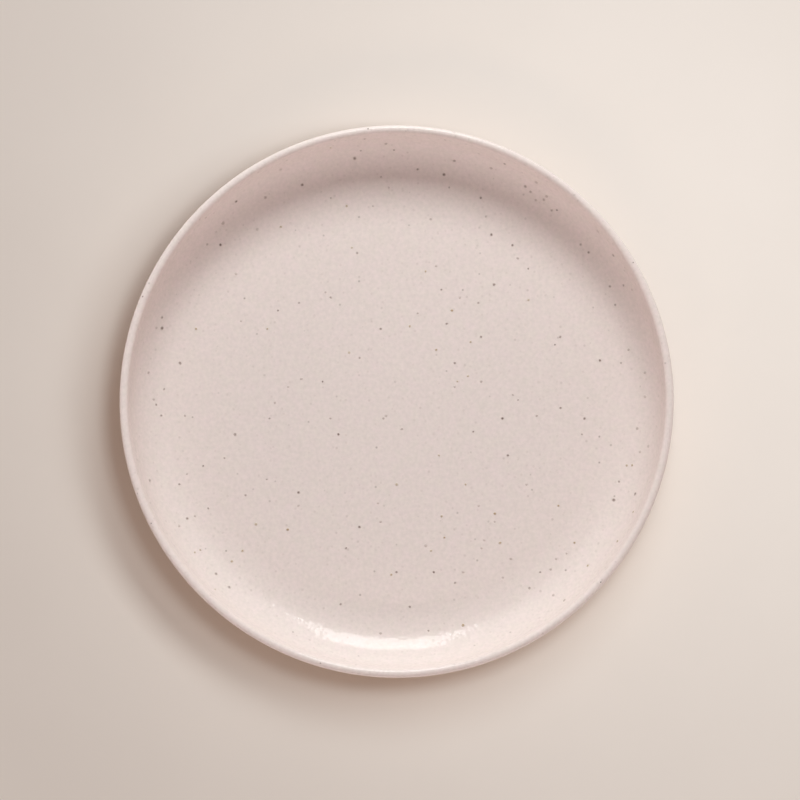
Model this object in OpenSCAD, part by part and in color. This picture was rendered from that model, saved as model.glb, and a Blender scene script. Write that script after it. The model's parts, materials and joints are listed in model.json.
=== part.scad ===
// Salad plate in speckled stoneware: a flat floor, a wall that turns up in one curve to a thin
// round rim, and a bare foot ring. A coat of glaze covers the clay and holds the mineral grains.
// The origin is the middle of the foot ring's resting face, and +Z points up.

/* [Plate] */
// Diameter over the rim
plate_diameter = 210; // [180:1:240]
// Height from the resting face to the top of the rim
plate_height = 25; // [21:0.5:32]
// Thickness of the rim, glaze included
rim_thickness = 3.2; // [2.4:0.1:4.4]
// Thickness of the floor, glaze included
floor_thickness = 4.4; // [3.4:0.1:6]
// Radius of the curve from the floor up into the wall
well_corner_radius = 16; // [10:0.5:18]
// Radius of the curve from the underside up into the outer wall
heel_radius = 20; // [12:0.5:22]

/* [Foot ring] */
// Diameter over the foot ring
foot_diameter = 140; // [110:1:155]
// Width of the foot ring, measured from its outside to its inside
foot_width = 5; // [3:0.5:9]
// Height of the foot ring below the glazed underside
foot_height = 2.5; // [1.5:0.1:4]
// Bevel on both edges of the resting face
foot_bevel = 0.8; // [0.3:0.1:1.2]

/* [Glaze] */
// Thickness of the fired coat
glaze_thickness = 0.4; // [0.2:0.05:0.8]

/* [Specks] */
// Diameter of the large dark grains
large_speck_diameter = 1.2; // [0.8:0.1:1.8]
// Diameter of the small dark grains
small_speck_diameter = 0.8; // [0.4:0.1:1.2]
// Diameter of the rust grains
rust_speck_diameter = 1; // [0.6:0.1:1.6]

/* [Hidden] */
$fn = 128;

// Fired clay, glaze and grain colours
clay_colour = "#b9a58c";
glaze_colour = "#decfc8";
dark_grain_colour = "#5a4a44";
rust_grain_colour = "#a9805f";

plate_radius = plate_diameter / 2;
well_radius = plate_radius - rim_thickness;
foot_radius = foot_diameter / 2;
foot_inner_radius = foot_radius - foot_width;
floor_z = foot_height + floor_thickness;

// The round of the rim, as the middle of its circle in the section
rim_round = rim_thickness / 2;
rim_z = plate_height - rim_round;

// The curves are no larger than the wall that they run into
well_corner = min(well_corner_radius, rim_z - floor_z);
heel = min(heel_radius, rim_z - foot_height);
corner_start = well_radius - well_corner;
corner_z = floor_z + well_corner;
heel_start = plate_radius - heel;
heel_z = foot_height + heel;

// Length of the pocket that each grain sits in, long enough to pass right through the coat
pocket_depth = 3 * glaze_thickness;

// Radius of the well on the chart that the places of the grains are read from
chart_radius = 100;

// Where the grains lie on that chart, seen from above: across and up from its middle
large_dark_places = [
    [-16, 93], [-61, 76], [-67, 60], [-36, 83], [18, 87], [32, 78], [36, 64], [44, 60],
    [37, 45], [22, 15], [-6, 28], [-89, 28], [-82, 15], [77, 16], [-22, -12], [40, -6],
    [42, -20], [-37, -34], [-14, -47], [0, -64], [14, -64], [-61, -12], [82, -37], [71, -6]
];
small_dark_places = [
    [-1, 96], [-12, 99], [-4, 98], [-6, 86], [-3, 82], [8, 89], [20, 82], [22, 92],
    [36, 89], [41, 90], [49, 82], [51, 80], [53, 83], [53, 77], [56, 77], [57, 78],
    [59, 73], [61, 73], [34, 71], [13, 70], [-9, 75], [-25, 78], [-50, 78], [-53, 66],
    [-44, 88], [-72, 69], [-66, 68], [-72, 60], [-61, 49], [-37, 38], [-15, 57], [-27, 42],
    [-25, 40], [15, 52], [17, 43], [24, 40], [31, 38], [50, 51], [46, 55], [70, 60],
    [73, 57], [76, 64], [82, 55], [86, 44], [89, 42], [81, 44], [83, 37], [-89, 32],
    [-91, 28], [-59, 31], [-45, 35], [-94, 11], [-88, 5], [-92, 1], [-91, -1], [-89, -5],
    [-80, -5], [-41, 6], [-36, 9], [-46, 0], [-48, -6], [-65, -21], [-73, -24], [-79, -27],
    [-82, -31], [-93, -30], [-71, -40], [-79, -44], [-76, -43], [-82, -47], [-57, -35], [-37, -39],
    [-49, -29], [-28, 8], [-14, 17], [8, 34], [19, 30], [32, 25], [32, 8], [22, 6],
    [-25, -6], [-4, -5], [-5, -6], [2, -10], [29, -11], [44, 3], [46, 1], [53, -5],
    [62, -2], [70, -12], [91, -10], [95, -17], [92, -19], [49, -31], [84, -30], [62, 25],
    [60, 22], [85, 15], [88, 20], [94, 11], [94, 2], [-7, -38], [-6, -45], [-19, -55],
    [11, -54], [33, -52], [32, -55], [25, -64], [22, -68], [5, -77], [12, -86], [-21, -76],
    [-6, -87], [37, -45], [31, -39], [43, -59], [60, -59], [64, -57], [58, -63], [54, -64],
    [40, -66], [50, -70], [59, -73], [63, -75], [90, -35], [-68, -65], [-63, -70]
];
rust_places = [
    [26, -31], [-18, 19], [28, 23], [21, 35], [5, 29], [11, 50], [50, 39], [27, 10],
    [37, -42], [18, -51], [13, -56], [89, -24], [87, -24], [-58, -56], [72, -62], [-44, 67],
    [23, 8], [15, 20], [-76, 28], [-49, 28], [-19, 75], [-25, 96], [-62, -60], [-74, -56],
    [-76, -57], [-53, -46], [-41, -48], [25, -84], [61, -39], [17, -43], [0, -31], [39, -53],
    [89, -42], [83, -53], [16, -20], [-68, -71], [-17, 59], [-2, -65], [67, -53]
];

// Angle of the well's surface at a distance from the axis: 0 on the floor, 90 at the top of the wall
function well_slope(r) = r <= corner_start ? 0 : asin((r - corner_start) / well_corner);
function well_surface_z(r) = corner_z - well_corner * cos(well_slope(r));

// Quarter of a disc, below its middle and to the outside
module lower_quarter_disc(radius) {
    intersection() {
        circle(r = radius);
        translate([0, -radius]) square(radius);
    }
}

// Half section of the plate without its foot, with every glazed face moved into the clay by inset
module plate_section(inset) {
    difference() {
        union() {
            translate([0, foot_height + inset]) square([heel_start, heel - inset]);
            translate([0, heel_z]) square([plate_radius - inset, rim_z - heel_z]);
            translate([heel_start, heel_z]) lower_quarter_disc(heel - inset);
            translate([well_radius + rim_round, rim_z]) circle(r = rim_round - inset);
        }
        translate([0, floor_z - inset]) square([corner_start, plate_height]);
        translate([0, corner_z]) square([well_radius + inset, plate_height]);
        translate([corner_start, corner_z]) circle(r = well_corner + inset);
    }
}

// Half section of the foot ring, up to the clay underside
module foot_section() {
    polygon([
        [foot_inner_radius + foot_bevel, 0],
        [foot_radius - foot_bevel, 0],
        [foot_radius, foot_bevel],
        [foot_radius, foot_height + glaze_thickness],
        [foot_inner_radius, foot_height + glaze_thickness],
        [foot_inner_radius, foot_bevel]
    ]);
}

// Clay plate with its foot ring, in one piece
module stoneware_body() {
    color(clay_colour)
        rotate_extrude() {
            plate_section(glaze_thickness);
            foot_section();
        }
}

// Whole coat over the well, the rim and the outside, before the grains take their pockets
module coat_blank() {
    rotate_extrude()
        difference() {
            plate_section(0);
            plate_section(glaze_thickness);
            square([foot_radius, foot_height + glaze_thickness]);
        }
}

// Round pockets through the coat, each square to the surface at its place
module pockets(places, diameter) {
    for (place = places) {
        reach = norm(place) / chart_radius * well_radius;
        rotate(atan2(place[1], place[0]))
            translate([reach, 0, well_surface_z(reach)])
                rotate([0, -well_slope(reach), 0])
                    cylinder(d = diameter, h = pocket_depth, center = true);
    }
}

module dark_pockets() {
    pockets(large_dark_places, large_speck_diameter);
    pockets(small_dark_places, small_speck_diameter);
}

module rust_pockets() {
    pockets(rust_places, rust_speck_diameter);
}

// Glaze over the well, the rim and the outside, down to the foot ring
module glaze_coat() {
    color(glaze_colour)
        difference() {
            coat_blank();
            dark_pockets();
            rust_pockets();
        }
}

// Glaze inside the foot ring
module base_glaze() {
    color(glaze_colour)
        translate([0, 0, foot_height]) cylinder(r = foot_inner_radius, h = glaze_thickness);
}

// Dark iron grains, flush with the coat
module dark_specks() {
    color(dark_grain_colour)
        intersection() {
            coat_blank();
            dark_pockets();
        }
}

// Tan and rust grains, flush with the coat
module rust_specks() {
    color(rust_grain_colour)
        intersection() {
            coat_blank();
            rust_pockets();
        }
}

stoneware_body();
glaze_coat();
base_glaze();
dark_specks();
rust_specks();
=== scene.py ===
import json
import math
import random

import bpy
from mathutils import Matrix, Vector


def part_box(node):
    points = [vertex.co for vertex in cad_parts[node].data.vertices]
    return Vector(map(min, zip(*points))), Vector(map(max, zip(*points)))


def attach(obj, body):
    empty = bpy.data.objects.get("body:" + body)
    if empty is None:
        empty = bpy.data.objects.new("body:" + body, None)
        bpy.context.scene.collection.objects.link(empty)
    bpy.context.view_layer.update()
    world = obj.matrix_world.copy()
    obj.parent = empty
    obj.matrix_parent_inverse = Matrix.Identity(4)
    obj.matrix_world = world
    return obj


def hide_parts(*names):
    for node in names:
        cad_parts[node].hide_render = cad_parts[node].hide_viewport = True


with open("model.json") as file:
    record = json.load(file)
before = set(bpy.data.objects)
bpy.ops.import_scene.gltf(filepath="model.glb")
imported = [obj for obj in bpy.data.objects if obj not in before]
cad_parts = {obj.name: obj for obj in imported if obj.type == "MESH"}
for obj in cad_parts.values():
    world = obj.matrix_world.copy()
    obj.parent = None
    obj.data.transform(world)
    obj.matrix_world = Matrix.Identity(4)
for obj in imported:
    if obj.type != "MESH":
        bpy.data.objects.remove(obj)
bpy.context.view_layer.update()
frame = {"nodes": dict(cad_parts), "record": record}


# Camera
# It hangs almost straight above the plate, a few degrees towards the near rim, so that more
# shows of the far wall than of the near one. A long lens keeps the rim close to a true circle.
MM = 0.001
camera_tilt = math.radians(4.5)
camera_distance = 950 * MM
view_width = 302.2 * MM
aim = Vector((1.3 * MM, -0.5 * MM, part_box("glaze_coat")[1].z))
camera_offset = Vector((0, -math.sin(camera_tilt), math.cos(camera_tilt))) * camera_distance
bpy.ops.object.camera_add(location=aim + camera_offset, rotation=(camera_tilt, 0, 0))
camera = bpy.context.object
camera.data.lens = camera.data.sensor_width * camera_distance / view_width
bpy.context.scene.camera = camera


# Stoneware body
# The plate itself, one lump of speckled stoneware clay thrown on a wheel and fired: a flat floor,
# a wall that turns up to a thin rim, and a turned foot ring, the only place that stays bare.
glaze_low, glaze_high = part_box("glaze_coat")
mounts = {mount["name"]: mount for mount in frame["record"]["mounts"]}
wobble = 0.15 * MM
grain_rise = 0.1 * MM
plate_radius = glaze_high.x - wobble
rim_top = glaze_high.z - grain_rise
rim_half = 1.6 * MM
underside_z = glaze_low.z
heel_radius = 20 * MM
corner_radius = 16 * MM
glaze_thickness = glaze_high.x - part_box("stoneware_body")[1].x
glaze_gap = 0.02 * MM
clay_inset = glaze_thickness + glaze_gap
clay_underside_z = underside_z + clay_inset
foot_inner_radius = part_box("base_glaze")[1].x
foot_width = 5 * MM
foot_radius = foot_inner_radius + foot_width
foot_round = 0.8 * MM
round_steps = 6
weld_distance = 0.001 * MM

# The floor sinks a little round its slightly domed middle, and eases up into the tight corner. The
# wall leans out by some degrees at its top, and the round of the rim starts with the same lean.
floor_sink = 0.25 * MM
floor_z = mounts["well_floor"]["pos_m"][2] - floor_sink
dome_height = 0.08 * MM
dome_radius = 68 * MM
ease_start = 78 * MM
ease_slope = math.radians(11)
corner_r = 85.2 * MM
wall_lean = 12
ease_radius = corner_radius + (corner_r - ease_start) / math.sin(ease_slope)
corner_z = floor_z + ease_radius - (ease_radius - corner_radius) * math.cos(ease_slope)


def arc(centre_r, centre_z, radius, start, stop, steps):
    """Points of a half section along an arc, with angles in degrees from the outward direction."""
    angles = [math.radians(start + (stop - start) * i / steps) for i in range(steps + 1)]
    return [(centre_r + radius * math.cos(a), centre_z + radius * math.sin(a)) for a in angles]


def plate_skin(inset):
    """Half section from the middle of the well over the rim to the underside, moved into the clay."""
    dome_steps = 17
    ease_steps = 8
    curve_steps = 28
    rim_steps = 24
    skin = []
    for i in range(dome_steps + 1):
        share = i / dome_steps
        rise = dome_height * (1 + math.cos(math.pi * share)) / 2
        skin.append((dome_radius * share, floor_z + rise - inset))
    corner_start = math.degrees(ease_slope) - 90
    skin += arc(ease_start, floor_z + ease_radius, ease_radius + inset, -90, corner_start, ease_steps)
    skin += arc(corner_r, corner_z, corner_radius + inset, corner_start, -wall_lean, curve_steps)[1:]
    skin += arc(plate_radius - rim_half, rim_top - rim_half, rim_half - inset, 180 - wall_lean, 0,
                rim_steps)
    skin += arc(plate_radius - heel_radius, underside_z + heel_radius, heel_radius - inset, 0, -90,
                curve_steps)
    return skin


def turn_on_wheel(name, section):
    """Turns a half section about the plate's axis into a closed mesh."""
    turn_steps = 256
    bpy.ops.object.select_all(action="DESELECT")
    bpy.ops.mesh.primitive_plane_add(size=MM)
    piece = bpy.context.object
    piece.name = name
    piece.data.name = name
    bpy.ops.object.mode_set(mode="EDIT")
    bpy.ops.mesh.select_all(action="SELECT")
    bpy.ops.mesh.merge(type="CENTER")
    bpy.ops.transform.translate(value=(section[0][0], 0, section[0][1]))
    for (r, z), (next_r, next_z) in zip(section, section[1:]):
        step = (next_r - r, 0, next_z - z)
        bpy.ops.mesh.extrude_vertices_move(TRANSFORM_OT_translate={"value": step})
    bpy.ops.mesh.select_all(action="SELECT")
    bpy.ops.mesh.spin(steps=turn_steps, angle=2 * math.pi, center=(0, 0, 0), axis=(0, 0, 1))
    bpy.ops.mesh.select_all(action="SELECT")
    bpy.ops.mesh.remove_doubles(threshold=weld_distance)
    bpy.ops.mesh.normals_make_consistent(inside=False)
    bpy.ops.object.mode_set(mode="OBJECT")
    bpy.ops.object.shade_smooth()
    return piece


def wobble_by_hand(piece):
    """Eases a turned piece off the true circle, as a plate goes that dries and is fired freely."""
    for axis, lobe in (("X", 90 * MM), ("Y", 110 * MM)):
        texture = bpy.data.textures.new("wobble_" + axis, "CLOUDS")
        texture.noise_scale = lobe
        texture.noise_depth = 0
        modifier = piece.modifiers.new("wobble_" + axis, "DISPLACE")
        modifier.texture = texture
        modifier.texture_coords = "LOCAL"
        modifier.direction = axis
        modifier.strength = 2 * wobble
        bpy.ops.object.modifier_apply(modifier=modifier.name)


clay_section = plate_skin(clay_inset)
clay_section += [(foot_radius, clay_underside_z)]
clay_section += arc(foot_radius - foot_round, foot_round, foot_round, 0, -90, round_steps)
clay_section += arc(foot_inner_radius + foot_round, foot_round, foot_round, -90, -180, round_steps)
clay_section += [(foot_inner_radius, clay_underside_z), (0, clay_underside_z)]
body = turn_on_wheel("clay_body", clay_section)
wobble_by_hand(body)


def linear(colour):
    """A colour written as an sRGB hex value, in linear light."""
    channels = [int(colour[i:i + 2], 16) / 255 for i in (1, 3, 5)]
    return [c / 12.92 if c <= 0.04045 else ((c + 0.055) / 1.055) ** 2.4 for c in channels] + [1]


def add_node(tree, kind, inputs, **settings):
    """Adds a node with its settings, and sets or links its inputs."""
    node = tree.nodes.new(kind)
    for name, value in settings.items():
        setattr(node, name, value)
    for socket, value in inputs.items():
        if isinstance(value, bpy.types.NodeSocket):
            tree.links.new(value, node.inputs[socket])
        else:
            node.inputs[socket].default_value = value
    return node


# A colour mix's sockets, which share their names with sockets for numbers
MIX_FACTOR, MIX_FIRST, MIX_SECOND, MIX_RESULT = 0, 6, 7, 2

# Bare fired stoneware is sandy and matt, with the clay's grit standing in its surface, and shows
# a toasted line where the melting glaze has crept into the clay.
clay_patch = 3 * MM
clay_grit = 0.5 * MM
grit_depth = 0.12 * MM
creep_low = 1.0 * MM
creep_high = 2.0 * MM
clay = bpy.data.materials.new("bare_stoneware")
clay.use_nodes = True
tree = clay.node_tree
shader = tree.nodes["Principled BSDF"]
shader.inputs["Roughness"].default_value = 0.85
place = add_node(tree, "ShaderNodeTexCoord", {}).outputs["Object"]
patches = add_node(tree, "ShaderNodeTexNoise", {"Vector": place, "Scale": 1 / clay_patch, "Detail": 4})
sandy = add_node(tree, "ShaderNodeMix", {
    MIX_FACTOR: patches.outputs["Fac"], MIX_FIRST: linear("#c4b097"), MIX_SECOND: linear("#a38c72"),
}, data_type="RGBA")
height = add_node(tree, "ShaderNodeSeparateXYZ", {"Vector": place}).outputs["Z"]
creep = add_node(tree, "ShaderNodeMapRange", {
    "Value": height, "From Min": creep_low, "From Max": creep_high, "To Max": 0.7,
}, interpolation_type="SMOOTHSTEP")
toasted = add_node(tree, "ShaderNodeMix", {
    MIX_FACTOR: creep.outputs["Result"], MIX_FIRST: sandy.outputs[MIX_RESULT],
    MIX_SECOND: linear("#8f6647"),
}, data_type="RGBA")
grit = add_node(tree, "ShaderNodeTexNoise", {"Vector": place, "Scale": 1 / clay_grit, "Detail": 2})
gritty = add_node(tree, "ShaderNodeBump", {"Height": grit.outputs["Fac"], "Distance": grit_depth})
tree.links.new(toasted.outputs[MIX_RESULT], shader.inputs["Base Color"])
tree.links.new(gritty.outputs["Normal"], shader.inputs["Normal"])
body.data.materials.append(clay)
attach(body, "root")
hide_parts("stoneware_body")


# Glaze coat
# A coat of glass, poured and fired on to the clay, over the well, the rim and the outside. It
# pools in the corner beside the foot ring and ends there in a rolled edge.
pool_round = 0.7 * MM
edge_thickness = 0.15 * MM
pool_r = foot_radius + edge_thickness + pool_round
pool_z = underside_z - pool_round
coat_section = plate_skin(0)
coat_section += arc(pool_r, pool_z, pool_round, 90, 180, round_steps)
coat_edge_r = foot_radius + edge_thickness / 2
coat_section += arc(coat_edge_r, pool_z, edge_thickness / 2, 0, -180, round_steps)[1:]
coat_section += [(foot_radius, underside_z + glaze_thickness)]
coat_section += reversed(plate_skin(glaze_thickness))
coat = turn_on_wheel("glaze_coat_skin", coat_section)
wobble_by_hand(coat)

# Satin stoneware glaze: a pale blush with small drifts towards cream, finely mottled and dusted all
# over with faint grains that lie too deep to stand out. Its gloss is crisp, and breaks up at the
# ends of a highlight because the surface is finely pebbled.
glaze_drift = 4 * MM
mottle_width = 1.4 * MM
swell_width = 7 * MM
swell_depth = 0.04 * MM
peel_width = 1.5 * MM
peel_depth = 0.025 * MM
skin_peel_depth = 0.09 * MM
glaze = bpy.data.materials.new("blush_satin_glaze")
glaze.use_nodes = True
tree = glaze.node_tree
shader = tree.nodes["Principled BSDF"]
shader.inputs["IOR"].default_value = 1.5
shader.inputs["Coat Weight"].default_value = 0.65
shader.inputs["Coat Roughness"].default_value = 0.08
place = add_node(tree, "ShaderNodeTexCoord", {}).outputs["Object"]
drift = add_node(tree, "ShaderNodeTexNoise", {"Vector": place, "Scale": 1 / glaze_drift, "Detail": 3})
drifting = add_node(tree, "ShaderNodeMix", {
    MIX_FACTOR: drift.outputs["Fac"], MIX_FIRST: linear("#ead4d1"), MIX_SECOND: linear("#e4d6cb"),
}, data_type="RGBA")
mottle = add_node(tree, "ShaderNodeTexNoise", {"Vector": place, "Scale": 1 / mottle_width, "Detail": 4})
mottling = add_node(tree, "ShaderNodeMapRange", {
    "Value": mottle.outputs["Fac"], "From Min": 0.3, "From Max": 0.7, "To Max": 0.34,
})
colour = add_node(tree, "ShaderNodeMix", {
    MIX_FACTOR: mottling.outputs["Result"], MIX_FIRST: drifting.outputs[MIX_RESULT],
    MIX_SECOND: linear("#cabcb4"),
}, data_type="RGBA").outputs[MIX_RESULT]

# Spacing, radius, strength and colour of each size of the faint grains, which are full in their core
dot_core = 0.3
for spacing, radius, strength, tone in (
    (2.4 * MM, 0.7 * MM, 0.2, "#b39b90"),
    (4.6 * MM, 0.7 * MM, 0.3, "#a28b80"),
    (6.5 * MM, 0.6 * MM, 0.6, "#7f695e"),
):
    cells = add_node(tree, "ShaderNodeTexVoronoi", {"Vector": place, "Scale": 1 / spacing})
    dot = add_node(tree, "ShaderNodeMapRange", {
        "Value": cells.outputs["Distance"], "From Min": dot_core * radius / spacing,
        "From Max": radius / spacing, "To Min": strength, "To Max": 0,
    }, interpolation_type="SMOOTHSTEP")
    chance = add_node(tree, "ShaderNodeSeparateColor", {"Color": cells.outputs["Color"]})
    share = add_node(tree, "ShaderNodeMath", {
        0: dot.outputs["Result"], 1: chance.outputs["Red"],
    }, operation="MULTIPLY")
    colour = add_node(tree, "ShaderNodeMix", {
        MIX_FACTOR: share.outputs["Value"], MIX_FIRST: colour, MIX_SECOND: linear(tone),
    }, data_type="RGBA").outputs[MIX_RESULT]
gloss = add_node(tree, "ShaderNodeMapRange", {
    "Value": drift.outputs["Fac"], "To Min": 0.45, "To Max": 0.6,
})
swell = add_node(tree, "ShaderNodeTexNoise", {"Vector": place, "Scale": 1 / swell_width})
swelled = add_node(tree, "ShaderNodeBump", {"Height": swell.outputs["Fac"], "Distance": swell_depth})
peel = add_node(tree, "ShaderNodeTexNoise", {"Vector": place, "Scale": 1 / peel_width, "Detail": 0})
pebbled = add_node(tree, "ShaderNodeBump", {
    "Height": peel.outputs["Fac"], "Distance": peel_depth, "Normal": swelled.outputs["Normal"],
})
skin = add_node(tree, "ShaderNodeBump", {
    "Height": peel.outputs["Fac"], "Distance": skin_peel_depth, "Normal": swelled.outputs["Normal"],
})
tree.links.new(colour, shader.inputs["Base Color"])
tree.links.new(gloss.outputs["Result"], shader.inputs["Roughness"])
tree.links.new(pebbled.outputs["Normal"], shader.inputs["Normal"])
tree.links.new(skin.outputs["Normal"], shader.inputs["Coat Normal"])
coat.data.materials.append(glaze)
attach(coat, "root")
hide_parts("glaze_coat")


# Base glaze
# The same glaze inside the foot ring, poured in and cut off from the rest by the wiped ring. Its
# surface keeps the faint rings that the turning tool left in the clay.
ring_spacing = 6.5 * MM
ring_depth = 0.05 * MM
ring_points = 60
base_pool_r = foot_inner_radius - edge_thickness - pool_round
base_section = []
for i in range(ring_points):
    r = base_pool_r * i / ring_points
    rise = ring_depth * (1 - math.cos(2 * math.pi * r / ring_spacing)) / 2
    base_section.append((r, underside_z + rise))
base_section += arc(base_pool_r, pool_z, pool_round, 90, 0, round_steps)
base_edge_r = foot_inner_radius - edge_thickness / 2
base_section += arc(base_edge_r, pool_z, edge_thickness / 2, 180, 360, round_steps)[1:]
base_section += [(foot_inner_radius, underside_z + glaze_thickness), (0, underside_z + glaze_thickness)]
base = turn_on_wheel("base_glaze_skin", base_section)
wobble_by_hand(base)
base.data.materials.append(glaze)
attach(base, "root")
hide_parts("base_glaze")


# Dark specks
# Grains of iron oxide that melted half way into the coat in the firing. Each is a low, uneven
# lens, dark in its middle and veiled by glaze towards its edge. They also lie on the outside.
grain_half = 0.5 * MM
grain_unevenness = 0.09 * MM
lens_rise = 0.16
lens_stretch = (0.85, 1.1)


def grain_places(node):
    """The middle and the width of each grain of a CAD node."""
    bpy.ops.object.select_all(action="DESELECT")
    frame["nodes"][node].select_set(True)
    bpy.context.view_layer.objects.active = frame["nodes"][node]
    bpy.ops.object.duplicate()
    bpy.ops.object.mode_set(mode="EDIT")
    bpy.ops.mesh.select_all(action="SELECT")
    bpy.ops.mesh.remove_doubles(threshold=weld_distance)
    bpy.ops.mesh.separate(type="LOOSE")
    bpy.ops.object.mode_set(mode="OBJECT")
    places = []
    for grain in bpy.context.selected_objects:
        corners = [Vector(corner) for corner in grain.bound_box]
        places.append((*(corners[0] + corners[6]) / 2, max(grain.dimensions)))
    bpy.ops.object.delete()
    return [(Vector(place[:3]), place[3]) for place in sorted(places)]


def open_side(middle):
    """The point in the open well that a grain of the well faces."""
    across = middle.xy.length
    if across <= corner_r:
        return Vector((middle.x, middle.y, rim_top))
    return Vector((middle.x * corner_r / across, middle.y * corner_r / across, corner_z))


def steepness(middle):
    """How far up the wall a grain lies, from 0 on the floor to 1 below the rim."""
    return max(0, (middle.xy.length - corner_r) / corner_radius)


def make_grain(name, seed):
    """One grain a millimetre wide, kept as the pattern for its copies."""
    bpy.ops.object.select_all(action="DESELECT")
    bpy.ops.mesh.primitive_uv_sphere_add(segments=8, ring_count=6, radius=grain_half)
    grain = bpy.context.object
    grain.name = name
    bpy.ops.object.mode_set(mode="EDIT")
    bpy.ops.mesh.select_all(action="SELECT")
    bpy.ops.transform.vertex_random(offset=grain_unevenness, seed=seed)
    bpy.ops.object.mode_set(mode="OBJECT")
    bpy.ops.object.shade_smooth()
    veil = grain.data.attributes.new("veil", "FLOAT", "POINT")
    for vertex, value in zip(grain.data.vertices, veil.data):
        value.value = min(1, vertex.co.xy.length / grain_half)
    return grain


def seat_grain(pattern, carrier, clear, inside, width, depth, draw):
    """A copy of a grain, seated where the line from a clear point to one inside meets the carrier."""
    _, spot, normal, _ = carrier.ray_cast(clear, (inside - clear).normalized())
    grain = pattern.copy()
    grain.data = pattern.data.copy()
    for value in grain.data.attributes["veil"].data:
        value.value = depth + (1 - depth) * value.value
    facing = normal.to_track_quat("Z", "Y").to_matrix().to_4x4()
    turn = Matrix.Rotation(draw.uniform(0, 2 * math.pi), 4, "Z")
    spread = width / MM
    length = spread * draw.uniform(*lens_stretch)
    breadth = spread * draw.uniform(*lens_stretch)
    size = Matrix.Diagonal((length, breadth, lens_rise, 1))
    grain.matrix_world = Matrix.Translation(spot) @ facing @ turn @ size
    bpy.context.collection.objects.link(grain)
    return grain


def join_grains(name, grains, patterns):
    """Makes one piece of the seated grains, with their places in its mesh."""
    bpy.ops.object.select_all(action="DESELECT")
    for grain in grains:
        grain.select_set(True)
    bpy.context.view_layer.objects.active = grains[0]
    bpy.ops.object.transform_apply(location=True, rotation=True, scale=True)
    bpy.ops.object.join()
    piece = bpy.context.object
    piece.name = name
    piece.data.name = name
    for pattern in patterns:
        bpy.data.objects.remove(pattern)
    return piece


# A grain wider than large_grain in the CAD is a large one. Each pair is a range of the seen width in
# millimetres, or of the depth in the glaze, from 0 at its surface to 1 out of sight.
large_grain = 1.0 * MM
large_width = (1.15, 1.45)
large_depth = (0.1, 0.45)
small_width = (0.9, 1.2)
small_depth = (0.3, 0.95)
wall_spread = 0.4
outer_width = (0.5, 1.1)
outer_depth = (0, 0.5)
rim_width = (0.6, 0.8)
rim_depth = (0.1, 0.4)

# The grains outside the well: how many, or at which bearings, and where they lie, in degrees down
# the heel, in halves of the rim's width from its outside, and as a share of the base's area.
outside_grains = 130
heel_span = (2, 85)
rim_bearings = (96, 254, 30, 158, 207, 318)
rim_span = (0.6, 1.2)
base_grains = 60
base_share = 0.95
draw = random.Random(11)
patterns = [make_grain("dark_pattern", seed) for seed in (1, 2, 3)]
grains = []
for middle, width in grain_places("dark_specks"):
    large = width > large_grain
    seen_width = draw.uniform(*(large_width if large else small_width)) * MM
    seen_width *= 1 + wall_spread * steepness(middle)
    depth = draw.uniform(*(large_depth if large else small_depth))
    clear = open_side(middle)
    grains.append(seat_grain(draw.choice(patterns), coat, clear, middle, seen_width, depth, draw))
for _ in range(outside_grains):
    around = Matrix.Rotation(draw.uniform(0, 2 * math.pi), 3, "Z")
    below = math.radians(draw.uniform(*heel_span))
    inside = Vector((plate_radius - heel_radius, 0, underside_z + heel_radius))
    clear = inside + Vector((math.cos(below), 0, -math.sin(below))) * 2 * heel_radius
    grains.append(seat_grain(draw.choice(patterns), coat, around @ clear, around @ inside,
                             draw.uniform(*outer_width) * MM, draw.uniform(*outer_depth), draw))
for bearing in rim_bearings:
    around = Matrix.Rotation(math.radians(bearing), 3, "Z")
    inside = Vector((plate_radius - rim_half * draw.uniform(*rim_span), 0, 0))
    clear = inside + Vector((0, 0, 2 * rim_top))
    grains.append(seat_grain(draw.choice(patterns), coat, around @ clear, around @ inside,
                             draw.uniform(*rim_width) * MM, draw.uniform(*rim_depth), draw))
for _ in range(base_grains):
    around = Matrix.Rotation(draw.uniform(0, 2 * math.pi), 3, "Z")
    inside = Vector((base_pool_r * math.sqrt(draw.uniform(0, base_share)), 0, rim_top))
    clear = inside - Vector((0, 0, 2 * rim_top))
    grains.append(seat_grain(draw.choice(patterns), base, around @ clear, around @ inside,
                             draw.uniform(*outer_width) * MM, draw.uniform(*outer_depth), draw))
dark_specks = join_grains("dark_iron_grains", grains, patterns)

grain_tone = 4 * MM
bleed_start = 0.25


def grain_material(name, deep, pale, edge):
    """A mineral under a film of glaze, deep to pale in its middle and bled out at its edge."""
    material = bpy.data.materials.new(name)
    material.use_nodes = True
    tree = material.node_tree
    shader = tree.nodes["Principled BSDF"]
    shader.inputs["Roughness"].default_value = 0.35
    place = add_node(tree, "ShaderNodeTexCoord", {}).outputs["Object"]
    tones = add_node(tree, "ShaderNodeTexNoise", {"Vector": place, "Scale": 1 / grain_tone})
    mineral = add_node(tree, "ShaderNodeMix", {
        MIX_FACTOR: tones.outputs["Fac"], MIX_FIRST: linear(deep), MIX_SECOND: linear(pale),
    }, data_type="RGBA")
    veil = add_node(tree, "ShaderNodeAttribute", {}, attribute_name="veil")
    bled = add_node(tree, "ShaderNodeMapRange", {
        "Value": veil.outputs["Fac"], "From Min": bleed_start, "From Max": 1,
    }, interpolation_type="SMOOTHSTEP")
    under_glaze = add_node(tree, "ShaderNodeMix", {
        MIX_FACTOR: bled.outputs["Result"], MIX_FIRST: mineral.outputs[MIX_RESULT],
        MIX_SECOND: linear(edge),
    }, data_type="RGBA")
    tree.links.new(under_glaze.outputs[MIX_RESULT], shader.inputs["Base Color"])
    return material


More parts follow.
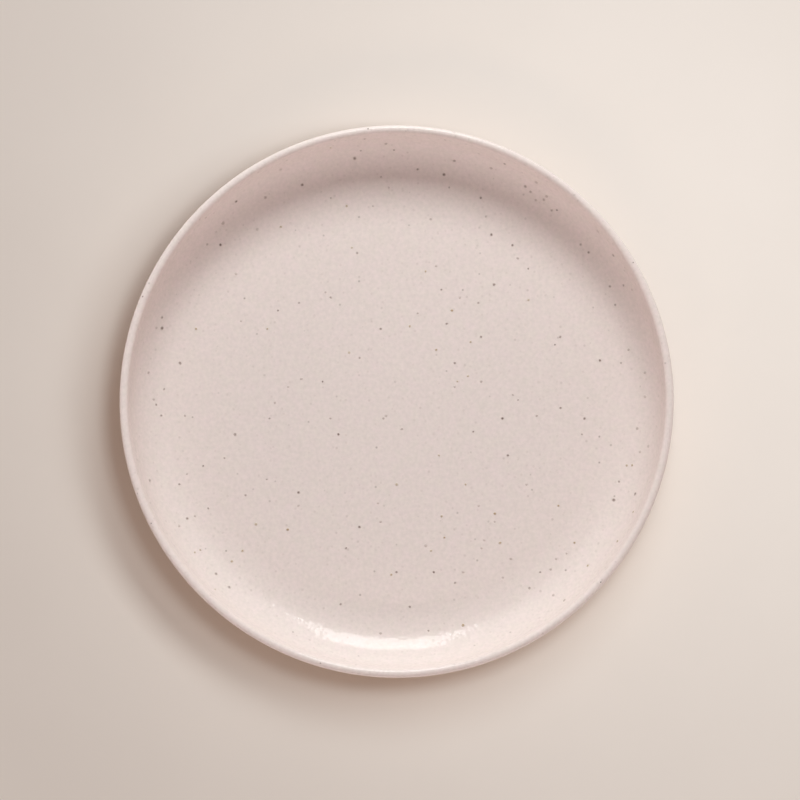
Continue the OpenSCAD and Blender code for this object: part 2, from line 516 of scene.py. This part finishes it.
# Iron oxide under a film of glaze: nearly black brown in the middle of a grain, bled out towards
# the glaze at its edge, with the gloss of the coat.
dark_grain = grain_material("iron_oxide_grain", "#4a3b34", "#6f5a4d", "#cfbdb5")
dark_specks.data.materials.append(dark_grain)
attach(dark_specks, "root")
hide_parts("dark_specks")


# Rust specks
# Grains with less iron in them, which fire to tan and rust. They lie in the coat as the dark
# ones do, rather wider and with softer edges.
rust_width = (0.95, 1.4)
rust_depth = (0, 0.45)
patterns = [make_grain("rust_pattern", seed) for seed in (5, 6)]
grains = []
for middle, width in grain_places("rust_specks"):
    grains.append(seat_grain(draw.choice(patterns), coat, open_side(middle), middle,
                             draw.uniform(*rust_width) * MM, draw.uniform(*rust_depth), draw))
rust_specks = join_grains("rust_iron_grains", grains, patterns)

# Iron bearing mineral under a film of glaze: ochre to rust, bled out at the edge.
rust_grain = grain_material("ochre_mineral_grain", "#8f7055", "#b8946c", "#d8c9bb")
rust_specks.data.materials.append(rust_grain)
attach(rust_specks, "root")
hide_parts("rust_specks")


# Floor
# A plain pale table top, smooth and matt, that takes the plate's shadow. Far from the plate it
# runs out into the pale backdrop, as a paper sweep does.
floor_size = 8
backdrop_colour = "#ded4ca"
sweep_start = 170 * MM
sweep_end = 420 * MM
cloud_width = 60 * MM


def seen_rays(tree):
    """1 for rays that show a backdrop, seen straight, mirrored or through glass, and 0 for others."""
    ray = add_node(tree, "ShaderNodeLightPath", {})
    reflected = add_node(tree, "ShaderNodeMath", {
        0: ray.outputs["Is Glossy Ray"], 1: ray.outputs["Is Transmission Ray"],
    }, operation="MAXIMUM")
    return add_node(tree, "ShaderNodeMath", {
        0: ray.outputs["Is Camera Ray"], 1: reflected.outputs["Value"],
    }, operation="MAXIMUM").outputs["Value"]


bpy.ops.object.select_all(action="DESELECT")
bpy.ops.mesh.primitive_plane_add(size=floor_size)
floor = bpy.context.object
floor.name = "floor"

# Smoothed plaster: a warm white, faintly clouded, with hardly any gloss.
plaster = bpy.data.materials.new("pale_plaster")
plaster.use_nodes = True
tree = plaster.node_tree
shader = tree.nodes["Principled BSDF"]
shader.inputs["Roughness"].default_value = 0.9
shader.inputs["Specular IOR Level"].default_value = 0.1
place = add_node(tree, "ShaderNodeTexCoord", {}).outputs["Object"]
clouding = add_node(tree, "ShaderNodeTexNoise", {"Vector": place, "Scale": 1 / cloud_width, "Detail": 4})
pale = add_node(tree, "ShaderNodeMix", {
    MIX_FACTOR: clouding.outputs["Fac"], MIX_FIRST: linear("#e7d8c8"), MIX_SECOND: linear("#ecddcd"),
}, data_type="RGBA")
away = add_node(tree, "ShaderNodeVectorMath", {0: place}, operation="LENGTH")
sweep = add_node(tree, "ShaderNodeMapRange", {
    "Value": away.outputs["Value"], "From Min": sweep_start, "From Max": sweep_end,
}, interpolation_type="SMOOTHSTEP")
share = add_node(tree, "ShaderNodeMath", {
    0: sweep.outputs["Result"], 1: seen_rays(tree),
}, operation="MULTIPLY")
paper = add_node(tree, "ShaderNodeEmission", {"Color": linear(backdrop_colour)})
shown = add_node(tree, "ShaderNodeMixShader", {
    0: share.outputs["Value"], 1: shader.outputs["BSDF"], 2: paper.outputs["Emission"],
})
tree.links.new(pale.outputs[MIX_RESULT], shader.inputs["Base Color"])
tree.links.new(shown.outputs["Shader"], tree.nodes["Material Output"].inputs["Surface"])
floor.data.materials.append(plaster)


# Light
# The main lamp stands beyond the far rim, and four weak ones open up the shadows on the wall. Light
# linking keeps them off the table, which has a wide lamp at the upper right, a small one above and a
# warm one in front. Of all lamps the glaze mirrors white_front alone, the main soft box's wide front.
plate_pieces = bpy.data.collections.new("plate_pieces")
for piece in (body, coat, base, dark_specks, rust_specks):
    plate_pieces.objects.link(piece)
table_top = bpy.data.collections.new("table_top")
table_top.objects.link(floor)


def soft_box(name, lights, tint, bearing, elevation, distance, width, height, watts):
    """A soft box aimed at the plate, with its bearing in degrees from +Y towards +X."""
    across = math.radians(bearing)
    up = math.radians(elevation)
    direction = Vector((math.sin(across) * math.cos(up), math.cos(across) * math.cos(up), math.sin(up)))
    facing = (-direction).to_track_quat("-Z", "Y").to_euler()
    bpy.ops.object.light_add(type="AREA", location=direction * distance, rotation=facing)
    lamp = bpy.context.object
    lamp.name = name
    lamp.data.shape = "RECTANGLE"
    lamp.data.size = width
    lamp.data.size_y = height
    lamp.data.energy = watts
    lamp.data.color = linear(tint)[:3]
    lamp.visible_glossy = False
    lamp.light_linking.receiver_collection = lights
    return lamp


soft_box("main_light", plate_pieces, "#f0fdff", bearing=3, elevation=37.5,
         distance=2, width=0.9, height=0.73, watts=41.5)
soft_box("low_front_light", plate_pieces, "#ffffff", bearing=180, elevation=8,
         distance=2, width=2.6, height=0.15, watts=16)
soft_box("high_front_light", plate_pieces, "#fff3f3", bearing=180, elevation=35,
         distance=2, width=2.6, height=0.15, watts=6)
soft_box("right_light", plate_pieces, "#fff8f8", bearing=75, elevation=12,
         distance=2, width=1.2, height=0.3, watts=2)
soft_box("left_light", plate_pieces, "#fff8f8", bearing=285, elevation=12,
         distance=2, width=1.2, height=0.3, watts=5)
soft_box("table_light", table_top, "#e4f2ff", bearing=50, elevation=58,
         distance=0.55, width=0.6, height=0.15, watts=2.15)
soft_box("table_fill", table_top, "#e4f2ff", bearing=75, elevation=81,
         distance=0.52, width=0.12, height=0.12, watts=0.7)
soft_box("table_bounce", table_top, "#ffe6cc", bearing=190, elevation=35,
         distance=2, width=1.2, height=0.3, watts=3.5)
white_front = soft_box("white_front", plate_pieces, "#ffffff", bearing=3, elevation=37,
                       distance=2, width=0.86, height=1.3, watts=20)
white_front.visible_glossy = True
white_front.visible_diffuse = False

room_light = 0.28
room = bpy.data.worlds.new("pale_room")
bpy.context.scene.world = room
room.use_nodes = True
tree = room.node_tree
lit = tree.nodes["Background"]
lit.inputs["Color"].default_value = linear("#ffeeee")
lit.inputs["Strength"].default_value = room_light
seen = add_node(tree, "ShaderNodeBackground", {"Color": linear(backdrop_colour)})
shown = add_node(tree, "ShaderNodeMixShader", {
    0: seen_rays(tree), 1: lit.outputs["Background"], 2: seen.outputs["Background"],
})
tree.links.new(shown.outputs["Shader"], tree.nodes["World Output"].inputs["Surface"])
bpy.context.scene.view_settings.view_transform = "Standard"
